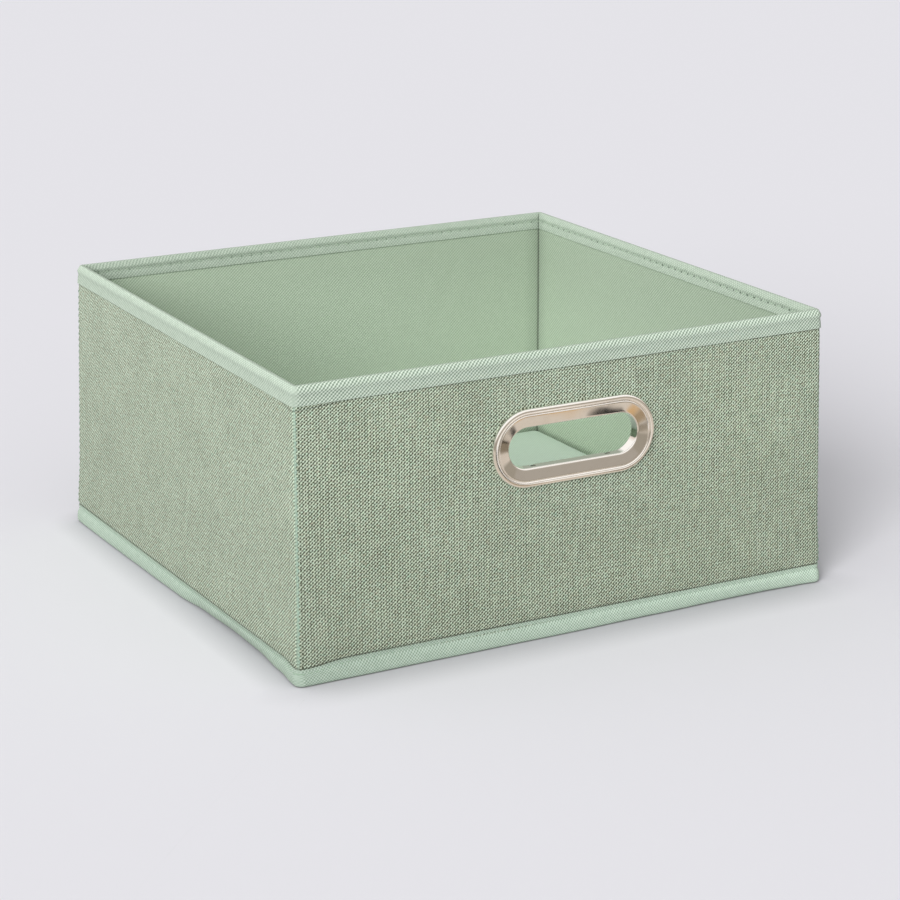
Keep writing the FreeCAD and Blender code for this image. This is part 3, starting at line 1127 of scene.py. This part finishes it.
@dataclass
class Bindings:
    """The tape folded over the rim and the tape folded under the hem."""

    finishes: Finishes
    rim_line: float = 5.0 * MM
    rim_stitch: float = 6.3 * MM
    rim_fold: float = 1.5 * MM
    hem_line: float = 8.1 * MM
    hem_stitch: float = 3.4 * MM
    hem_fold: float = 0.9 * MM

    def rim_form(self, station: Station, point: Pair) -> Pair:
        """The rim tape: full at the fold, drawn in along the seam, its edges a little lifted."""
        inset, height = point
        drop = SIZE.height - height
        drawn = 0.34 * MM * bell(drop, self.rim_line, 1.5 * MM)
        full = 0.34 * MM * smooth_step(0.8 * MM, 3.0 * MM, drop) * smooth_step(4.8 * MM, 3.0 * MM, drop)
        middle = SIZE.wall / 2
        inset = middle + (inset - middle) * (1 - 0.36 * rim_squeeze(height))
        waver = 0.5 + soft_noise(station.run * 2.2, 0.0, 20.0)
        if inset > middle:
            lift = 0.3 * MM * smooth_step(6.5 * MM, 9.5 * MM, drop) * waver * (1 - abs(station.share) ** 6)
            pinch = 0.7 * MM * math.sin(2 * station.turn) ** 4 * smooth_step(0.5 * MM, 3 * MM, drop)
            return inset - drawn + full + lift - pinch, height
        lift = 0.22 * MM * smooth_step(7.5 * MM, 10 * MM, drop) * waver
        sway = 0.15 * MM * soft_noise(station.run * 3, 0.0, 31.0)
        return inset + drawn - full - lift, height + sway * smooth_step(7 * MM, 10 * MM, drop)

    def hem_form(self, station: Station, point: Pair) -> Pair:
        """The hem tape: a flat strip above the seam and a rounded, slightly wavy body under it."""
        inset, height = point
        if inset > SIZE.seam / 2:
            return inset - flare_at(station, height), height
        rolled = 0.35 * MM * smooth_step(SIZE.seam / 2, -SIZE.tape, inset) * smooth_step(2.5 * MM, 0.0, height)
        height += rolled - (SIZE.hem - hem_edge(station)) * smooth_step(4 * MM, 9 * MM, height)
        drawn = 0.55 * MM * bell(height, self.hem_line, 0.9 * MM)
        full = 0.45 * MM * smooth_step(0.4 * MM, 3.0 * MM, height) * smooth_step(7.6 * MM, 5.0 * MM, height)
        wave = 0.35 * MM * soft_noise(station.run * 3.0, 0.0, 40.0) * smooth_step(9 * MM, 3 * MM, height)
        return inset - flare_at(station, height) + drawn - full - wave, height

    def bind(self, name: str, profile: list[Pair], form: Form, tape: NonWoven, node: str) -> bpy.types.Object:
        """Builds one tape.

        Args:
            name: the piece's name.
            profile: (inset, height) points over its outer face.
            form: what its sewing and its fold do to them.
            tape: its cloth.
            node: the CAD node that it stands for.

        Returns:
            The finished tape.
        """
        piece = lay_cloth(name, PLAN.ring(PLAN.step), profile, form)
        weld(piece)
        finish_with(piece, "SOLIDIFY", thickness=SIZE.tape, offset=-1.0)
        settle(piece)
        hand_over(piece, Slot.TAPE, tape.make(self.finishes), nodes=[node])
        return piece

    def make_rim(self) -> None:
        """Builds the rim tape."""
        inner, outer, top = SIZE.wall + SIZE.tape, -SIZE.tape, SIZE.height
        line = [
            (outer, top - SIZE.rim_outside, 0.0), (outer, top, self.rim_fold),
            (inner, top, self.rim_fold), (inner, top - SIZE.rim_inside, 0.0),
        ]
        fold_length = 3.3 * MM
        tape = NonWoven(
            "rim_tape_non_woven", srgb(209, 221, 206), srgb(112, 131, 113), up=540.0, rising=0.68, dots=1.35,
            depth=0.16 * MM, crease=0.42, crease_from=SIZE.rim_outside + 3.0 * MM, painted_shading=0.10,
            pressed=(0.0, 4.8 * MM, 9.8 * MM),
            rows=((SIZE.rim_outside + fold_length + self.rim_line, self.rim_stitch, 0.55 * MM),),
        )
        profile = even(rounded(line, 0.4 * MM), 0.9 * MM)
        piece = self.bind("rim_tape", profile, self.rim_form, tape, "top_binding")

    def make_hem(self) -> None:
        """Builds the hem tape."""
        inner, outer = SIZE.seam + SIZE.tape, -SIZE.tape
        line = [
            (inner, self.hem_line, 0.0), (inner, 0.0, self.hem_fold),
            (outer, 0.0, self.hem_fold), (outer, SIZE.hem, 0.0),
        ]
        tape = NonWoven(
            "hem_tape_non_woven", srgb(182, 196, 183), srgb(103, 123, 105), across=590.0, up=590.0, rising=0.56,
            dots=0.95, depth=0.16 * MM, painted_shading=0.08, light_slope=LightSlope((1.0, 0.3, 0.0), -0.192, 0.108, 1.0, 1.40),
        )
        profile = even(rounded(line, 0.3 * MM), 0.7 * MM)
        piece = self.bind("hem_tape", profile, self.hem_form, tape, "bottom_binding")

    def build(self) -> None:
        """Builds both tapes."""
        self.make_rim()
        self.make_hem()


# ---------------------------------------------------------------- sewing


@dataclass(frozen=True)
class Row:
    """One row of visible stitches, with a stitch's length and its thread's radius in metres."""

    name: str
    slot: Slot
    length: float
    radius: float

    def stitch(self) -> bpy.types.Object:
        """One stitch: a thread that dips into the cloth at both ends, lying along X."""
        piece = add("uv_sphere", segments=8, ring_count=6, radius=1.0, rotation=(0, math.pi / 2, 0))
        keep_place()
        for vertex in piece.data.vertices:
            along, side, up = vertex.co
            vertex.co = (along * self.length / 2, side * self.radius, (up - 0.7 * along * along) * self.radius)
        return piece

    def sew(self, places: list[Matrix], finish: bpy.types.Material) -> None:
        """Copies the stitch to every place and joins the copies into one row."""
        first = self.stitch()
        copies = []
        for place in places:
            one = first.copy()
            one.data = first.data.copy()
            one.data.transform(place)
            bpy.context.scene.collection.objects.link(one)
            copies.append(one)
        bpy.data.objects.remove(first, do_unlink=True)
        choose(*copies)
        bpy.ops.object.join()
        row = bpy.context.object
        row.name = self.name
        settle(row, 60)
        hand_over(row, self.slot, finish)


@dataclass
class Sewing:
    """The seams of the rim and the hem, and the topstitching up the corners."""

    finishes: Finishes
    corner_turn: float = math.radians(30)
    corner_stitch: float = 3.5 * MM
    corner_foot: float = 12.5 * MM
    corner_top: float = 137 * MM

    def place(self, station: Station, spot: Pair, inside: bool = False, upright: bool = False) -> Matrix:
        """Placement of a stitch, with Z out of the cloth.

        Args:
            station: the place round the walls.
            spot: its inset and height.
            inside: whether it lies on the inside of the basket.
            upright: whether it runs up the wall and not along it.

        Returns:
            The matrix that turns X along the row.
        """
        outward, top = PLAN.outward(station), Vector(Z_AXIS)
        out = -outward if inside else outward
        along = top if upright else top.cross(outward)
        placed = Matrix((along, out.cross(along), out)).transposed().to_4x4()
        placed.translation = PLAN.point(station, *spot)
        return placed

    def build(self) -> None:
        """Sews every row."""
        bindings, walls = Bindings(self.finishes), Walls(self.finishes)
        spot = (SIZE.wall + SIZE.tape, SIZE.height - bindings.rim_line)
        ring = PLAN.ring(bindings.rim_stitch / 2)[1::2]
        places = [self.place(station, bindings.rim_form(station, spot), inside=True) for station in ring]
        Row("rim_seam_thread", Slot.TAPE, 4.6 * MM, 0.24 * MM).sew(
            places, SpunThread("tape_thread", srgb(186, 206, 184)).make()
        )
        spot = (-SIZE.tape, bindings.hem_line)
        ring = PLAN.ring(bindings.hem_stitch)
        places = [self.place(station, bindings.hem_form(station, spot)) for station in ring]
        Row("hem_seam_thread", Slot.TAPE, 2.7 * MM, 0.22 * MM).sew(
            places, SpunThread("hem_thread", srgb(150, 176, 152)).make()
        )
        thread = SpunThread("corner_thread", srgb(146, 172, 156)).make()
        for side in Side:
            station = Station(side, -1.0, self.corner_turn, 0.0)
            places = []
            height = self.corner_foot
            while height < self.corner_top:
                inset, high = walls.cover_form(station, (0.0, height))
                places.append(self.place(station, (inset + 0.02 * MM, high), upright=True))
                height += self.corner_stitch
            Row(f"{side.name.lower()}_corner_thread", Slot.WOVEN, 2.5 * MM, 0.36 * MM).sew(places, thread)


# ---------------------------------------------------------------- handle frame


@dataclass
class HandleFrame:
    """The two stamped plates of the hand slot.

    Their face lines are (distance from the slot's middle line, height off the cover, corner
    radius) in millimetres. The front one has a rolled rim, a crease, a sloping band, a rounded
    mouth, a barrel and a crimp, the back one a seat for the crimp, a step, a crown and an edge.
    """

    front_line: tuple[Triple, ...] = (
        (20.0, 0.0, 0.0), (20.0, 2.75, 1.35), (17.15, 2.75, 0.9), (16.95, 2.25, 0.2), (16.5, 2.62, 0.4),
        (10.4, 1.35, 0.9), (10.4, -4.4, 0.25), (13.4, -4.4, 0.0),
    )
    back_line: tuple[Triple, ...] = (
        (11.0, -3.9, 0.0), (13.9, -3.9, 0.3), (14.4, -4.9, 0.3), (17.4, -4.9, 0.8), (17.4, -3.3, 0.0),
    )
    front_sheet: float = 0.5 * MM
    back_sheet: float = 0.6 * MM
    notch_x: float = 21.5 * MM
    notch_z: float = 12.1 * MM
    notch_y: float = 3.6 * MM
    notch: Triple = (2.8 * MM, 4.4 * MM, 4.2 * MM)
    straight_steps: int = 8
    round_steps: int = 40

    def section(self, corners: tuple[Triple, ...], flat: float, thickness: float) -> list[Pair]:
        """Closed outline of a bent sheet.

        Args:
            corners: its face line.
            flat: length of the flats that its bends are made of, in millimetres.
            thickness: metres to the right of the face line, or to its left if negative.

        Returns:
            The outline's points in metres.
        """
        line = even([(r * MM, p * MM) for r, p in rounded(list(corners), flat)], 0.6 * MM)
        other = []
        for i, here in enumerate(line):
            before, after = line[max(i - 1, 0)], line[min(i + 1, len(line) - 1)]
            length = math.dist(before, after)
            across = ((after[1] - before[1]) / length, -(after[0] - before[0]) / length)
            place = (here[0] + thickness * across[0], here[1] + thickness * across[1])
            if min(math.dist(place, point) for point in line) > 0.97 * abs(thickness):
                other.append(place)
        return line + other[::-1]

    def sweep(self, name: str, section: list[Pair]) -> bpy.types.Object:
        """Draws a section round the slot: along the top, round one end, along the bottom, round the other."""
        piece = add("circle", name, vertices=len(section), radius=1.0, fill_type="NOTHING")
        for vertex, (r, p) in zip(piece.data.vertices, section):
            vertex.co = (SIZE.slot_half, -SIZE.depth / 2 - p, SIZE.slot_z + r)
        with editing(piece):
            for end in (-SIZE.slot_half, SIZE.slot_half):
                move = {"value": (2 * end / self.straight_steps, 0, 0)}
                for _ in range(self.straight_steps):
                    bpy.ops.mesh.extrude_region_move(TRANSFORM_OT_translate=move)
                centre = (end, 0, SIZE.slot_z)
                bpy.ops.mesh.spin(steps=self.round_steps, angle=math.pi, center=centre, axis=Y_AXIS)
        weld(piece, outward=True)
        return piece

    def seat(self, piece: bpy.types.Object) -> None:
        """Sets a plate on the leaning wall, without bending it."""
        middle = Vector((0, -SIZE.depth / 2, SIZE.slot_z))
        left, right = (LEAN.moved(middle + Vector((x, 0, 0))) for x in (-SIZE.slot_half, SIZE.slot_half))
        low, high = (LEAN.moved(middle + Vector((0, 0, z))) for z in (-SIZE.slot_r, SIZE.slot_r))
        along, up = (right - left).normalized(), (high - low).normalized()
        out = along.cross(up).normalized()
        turned = Matrix((along, -out, out.cross(along))).transposed().to_4x4()
        piece.data.transform(Matrix.Translation(LEAN.moved(middle)) @ turned @ Matrix.Translation(-middle))

    def cut_notches(self, piece: bpy.types.Object) -> None:
        """Cuts the four relief notches into the crimped edge."""
        for x in (-self.notch_x, self.notch_x):
            for z in (-self.notch_z, self.notch_z):
                where = (x, self.notch_y - SIZE.depth / 2, SIZE.slot_z + z)
                cutter = add("cube", size=1.0, location=where, scale=self.notch)
                keep_place()
                cut(piece, cutter)

    def build(self) -> None:
        """Builds both plates."""
        front = self.sweep("handle_front_frame", self.section(self.front_line, 0.13, -self.front_sheet))
        self.cut_notches(front)
        back = self.sweep("handle_back_frame", self.section(self.back_line, 0.15, self.back_sheet))
        # Painted shade: the back plate gets a dark nickel that stands in for the shade it lies in, behind the front
        # plate and in the notches.
        shade_dark_plate = NickelPlate("shade_dark_nickel", srgb(142, 136, 128), srgb(104, 98, 92))
        for piece, plate, node in ((front, NickelPlate(), "handle_front_plate"), (back, shade_dark_plate, "handle_back_plate")):
            self.seat(piece)
            settle(piece, 45)
            hand_over(piece, Slot.PLATE, plate.make(), nodes=[node])


# ---------------------------------------------------------------- floor of the basket


@dataclass
class BasketFloor:
    """The sewn-in bottom and the loose base panel that lies on it."""

    finishes: Finishes
    panel_length: float = 290 * MM
    panel_width: float = 270 * MM
    panel_top: float = 12.7 * MM
    panel_corner: float = 4 * MM
    bottom_inset: float = 1.35 * MM
    bottom_thickness: float = 0.45 * MM
    bottom_turn_down: float = 1.6 * MM

    def make_bottom(self, finish: bpy.types.Material) -> None:
        """Builds the sewn-in bottom: flat, with its edge turned down into the hem."""
        length, width = (size - 2 * self.bottom_inset for size in (SIZE.width, SIZE.depth))
        piece = add("grid", "sewn_bottom_cloth", x_subdivisions=60, y_subdivisions=60, size=1.0)
        points = piece.data.vertices
        map_cloth(piece.data, lambda k: ((points[k].co.x + 0.5) * length, (points[k].co.y + 0.5) * width))
        for vertex in points:
            flat = Vector((vertex.co.x * length, vertex.co.y * width, SIZE.floor - 0.5 * MM))
            x, y = 2 * flat.x / SIZE.width, 2 * flat.y / SIZE.depth
            bow = 0.25 * MM * soft_noise(flat.x, flat.y, 55.0) * (1 - x ** 8) * (1 - y ** 8)
            vertex.co = LEAN.moved(flat) + Vector((0, 0, bow))
        with editing(piece):
            bpy.ops.mesh.region_to_loop()
            bpy.ops.mesh.extrude_edges_move(TRANSFORM_OT_translate={"value": (0, 0, -self.bottom_turn_down)})
        finish_with(piece, "SOLIDIFY", thickness=self.bottom_thickness, offset=1.0)
        settle(piece)
        hand_over(piece, Slot.LINING, finish, nodes=["bottom_panel"])

    def round_corners(self, points: Iterable[bpy.types.MeshVertex], turns: int) -> None:
        """Spreads a disc's points, so many to a quarter, into an oblong with rounded corners."""
        for vertex in points:
            step = round(math.atan2(vertex.co.x, vertex.co.y) / (math.tau / (4 * turns))) % (4 * turns)
            quarter, k = divmod(step, turns)
            angle = math.pi / 2 * (quarter + k / (turns - 1))
            middle = math.pi / 2 * (quarter + 0.5)
            right, back = math.copysign(1, math.sin(middle)), math.copysign(1, math.cos(middle))
            corner = self.panel_corner
            vertex.co.x = right * (self.panel_length / 2 - corner) + corner * math.sin(angle)
            vertex.co.y = back * (self.panel_width / 2 - corner) + corner * math.cos(angle)

    def make_panel(self, finish: bpy.types.Material) -> None:
        """Builds the sleeve of the base panel: a flat pocket with soft edges."""
        thick = self.panel_top - SIZE.floor
        middle = SIZE.floor + thick / 2
        turns = 8
        piece = add("cylinder", "base_panel_sleeve", vertices=4 * turns, depth=thick, location=(0, 0, middle))
        keep_place()
        self.round_corners(piece.data.vertices, turns)
        finish_with(
            piece, "BEVEL", width=0.36 * MM, segments=3, limit_method="ANGLE", angle_limit=math.radians(60)
        )
        half_length, half_width = self.panel_length / 2, self.panel_width / 2
        with editing(piece):
            bpy.ops.mesh.select_mode(type="FACE")
            slice_open_mesh(0, -half_length, half_length, 48)
            slice_open_mesh(1, -half_width, half_width, 44)
        for vertex in piece.data.vertices:
            x, y, z = vertex.co
            if abs(x / half_length) < 0.975 and abs(y / half_width) < 0.975 and z > middle:
                vertex.co.z += 0.16 * MM * soft_noise(x * 1.5, y * 1.5, 70.0)
        points = piece.data.vertices
        map_cloth(piece.data, lambda k: (points[k].co.x + 0.15, points[k].co.y + 0.15 + points[k].co.z))
        settle(piece)
        hand_over(piece, Slot.LINING, finish, body="base_panel", nodes=["base_board_cover"])

    def build(self) -> None:
        """Builds the bottom and the base panel, and dresses the board inside it."""
        web = NonWoven("floor_non_woven", srgb(216, 230, 219), srgb(184, 200, 185), dots=0.35).make(self.finishes)
        self.make_bottom(web)
        self.make_panel(web)
        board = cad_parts["base_board"]
        board.data.materials.clear()
        board.data.materials.append(self.finishes.board)


# ---------------------------------------------------------------- studio


@dataclass(frozen=True)
class Blob:
    """A soft oval patch of light or dark on the card: its middle, its half sizes and its colour."""

    x: float
    y: float
    wide: float
    deep: float
    colour: Colour


@dataclass(frozen=True)
class Studio:
    """The pale floor, the soft light and the camera of the photograph."""

    backdrop: Colour = srgb(228, 227, 232)
    ambient: float = 0.625
    slope: float = 0.7
    brighter: Triple = (-0.95, -0.31, 0.0)
    key: float = 2.81
    key_angle: float = 31.0
    key_travel: Triple = (0.66, 0.54, -0.40)
    eye: Triple = (-0.6100, -1.1187, 0.4493)
    right: Triple = (0.87492, -0.48427, -0.00075)
    up: Triple = (0.14295, 0.25678, 0.95584)
    forward: Triple = (0.46269, 0.83639, -0.29389)
    lens: float = 97.8
    kit: tuple[Blob, ...] = (
        Blob(0.160, -0.440, 0.075, 0.050, srgb(250, 246, 240)),
        Blob(0.127, -0.262, 0.017, 0.013, srgb(46, 45, 43)),
        Blob(0.104, -0.242, 0.007, 0.006, srgb(196, 160, 122)),
        Blob(0.096, -0.298, 0.017, 0.022, srgb(204, 168, 122)),
        Blob(0.074, -0.352, 0.034, 0.055, srgb(160, 140, 112)),
        Blob(0.072, -0.480, 0.042, 0.080, srgb(148, 138, 122)),
        Blob(0.245, -0.312, 0.036, 0.034, srgb(134, 124, 110)),
        Blob(0.150, -0.246, 0.011, 0.012, srgb(150, 128, 104)),
        Blob(0.118, -0.424, 0.013, 0.024, srgb(20, 16, 14)),
        Blob(0.185, -0.328, 0.050, 0.045, srgb(132, 120, 102)),
        Blob(0.166, -0.300, 0.008, 0.030, srgb(52, 44, 34)),
        Blob(-0.345, -0.170, 0.050, 0.045, srgb(34, 32, 28)),
        Blob(0.275, -0.165, 0.060, 0.035, srgb(30, 26, 22)),
    )

    def camera(self) -> None:
        """Places the camera."""
        data = bpy.data.cameras.new("camera")
        data.lens, data.sensor_width = self.lens, 36.0
        data.clip_start, data.clip_end = 0.05, 60.0
        camera = bpy.data.objects.new("camera", data)
        bpy.context.scene.collection.objects.link(camera)
        turned = Matrix((self.right, self.up, tuple(-f for f in self.forward))).transposed().to_4x4()
        turned.translation = Vector(self.eye)
        camera.matrix_world = turned
        bpy.context.scene.camera = camera

    def floor(self) -> None:
        """Lays the floor, with a painted contact shadow from an occlusion node close to the basket: broad in front,
        close at the sides.
        """
        paint = Paint("studio_floor")
        side = paint.along(paint.place, Y_AXIS).spread(-0.150, -0.135)
        shade = paint.tap("ShaderNodeAmbientOcclusion", "AO", {"Distance": side * -0.012 + 0.031})
        least = side * 0.14 + 0.22
        paint.colour = paint.mix(shade * (1.0 - least) + least, (0, 0, 0, 1), self.backdrop)
        floor = add("plane", size=40.0, location=(0, 0, -0.1 * MM))
        floor.name = "studio_floor"
        floor.data.materials.append(paint.done(1.0, Specular_IOR_Level=0.0))
        floor.visible_glossy = False

    def card(self) -> None:
        """Lays the card that only reflections see: the dim table and the dark kit in front of the basket."""
        made = bpy.data.materials.new("studio_card")
        wiring = Wiring(blank_tree(made))
        where = wiring.wander(wiring.tap("ShaderNodeTexCoord", "Object", {}), 26.0, 2.0, 0.035)
        far = wiring.along(where, Y_AXIS).spread(-0.50, -0.62)
        colour = wiring.mix(far, srgb(208, 197, 183), srgb(156, 148, 134))
        for blob in self.kit:
            off = wiring.vector("SUBTRACT", where, (blob.x, blob.y, 0.0))
            off = wiring.vector("LENGTH", wiring.vector("MULTIPLY", off, (1 / blob.wide, 1 / blob.deep, 0.0)))
            colour = wiring.mix(off.spread(1.3, 0.75), colour, blob.colour)
        wiring.shine("ShaderNodeOutputMaterial", wiring.tap("ShaderNodeEmission", 0, {"Color": colour}))
        card = add("plane", size=30.0, location=(0, 0, -0.2 * MM))
        card.name = "studio_card"
        card.data.materials.append(made)
        card.visible_camera = card.visible_diffuse = card.visible_shadow = card.visible_transmission = False

    def sky(self) -> None:
        """Even light all round, the backdrop's colour to the eye, and a softly graded room in reflections."""
        world = bpy.data.worlds.new("studio")
        bpy.context.scene.world = world
        wiring = Wiring(blank_tree(world))
        eye, gloss = (wiring.tap("ShaderNodeLightPath", f"Is {ray} Ray", {}) for ray in ("Camera", "Glossy"))
        where = wiring.tap("ShaderNodeTexCoord", "Generated", {})
        room = wiring.tap("ShaderNodeValToRGB", 0, {0: wiring.along(where, Z_AXIS).spread(-0.2, 1.0)})
        stops = room.socket.node.color_ramp.elements
        stops[0].position, stops[0].color = 0.25, srgb(168, 160, 149)
        stops[1].position, stops[1].color = 0.50, srgb(254, 252, 248)
        stops.new(0.37).color = srgb(232, 223, 212)
        behind = wiring.along(where, (0.62, 0.78, 0.0)).spread(0.75, 0.9)
        seen = wiring.mix(gloss, (1, 1, 1, 1), wiring.mix(behind, room, srgb(160, 168, 154)))
        seen = wiring.mix(eye, seen, self.backdrop)
        shown = wiring.math("MAXIMUM", eye, gloss)
        lean = wiring.along(where, tuple(self.slope * part for part in self.brighter))
        strength = shown + (1.0 - shown) * ((lean + 1.0) * self.ambient)
        light = wiring.tap("ShaderNodeBackground", 0, {"Color": seen, "Strength": strength})
        wiring.shine("ShaderNodeOutputWorld", light)

    def lamp(self) -> None:
        """Hangs the broad key light at the front left."""
        data = bpy.data.lights.new("key", "SUN")
        data.energy = self.key
        data.angle = math.radians(self.key_angle)
        lamp = bpy.data.objects.new("key", data)
        lamp.rotation_euler = Vector(self.key_travel).to_track_quat("-Z", "Y").to_euler()
        lamp.visible_glossy = False
        bpy.context.scene.collection.objects.link(lamp)

    def build(self) -> None:
        """Sets up everything round the object."""
        self.camera()
        self.floor()
        self.card()
        self.sky()
        self.lamp()
        bpy.context.scene.view_settings.view_transform = "Standard"


def main() -> None:
    """Builds the scene."""
    logging.basicConfig(level=logging.INFO, format="%(name)s %(message)s")
    Studio().build()
    finishes = Finishes()
    for part in (Walls(finishes), Bindings(finishes), Sewing(finishes), HandleFrame(), BasketFloor(finishes)):
        part.build()


if __name__ == "__main__":
    main()
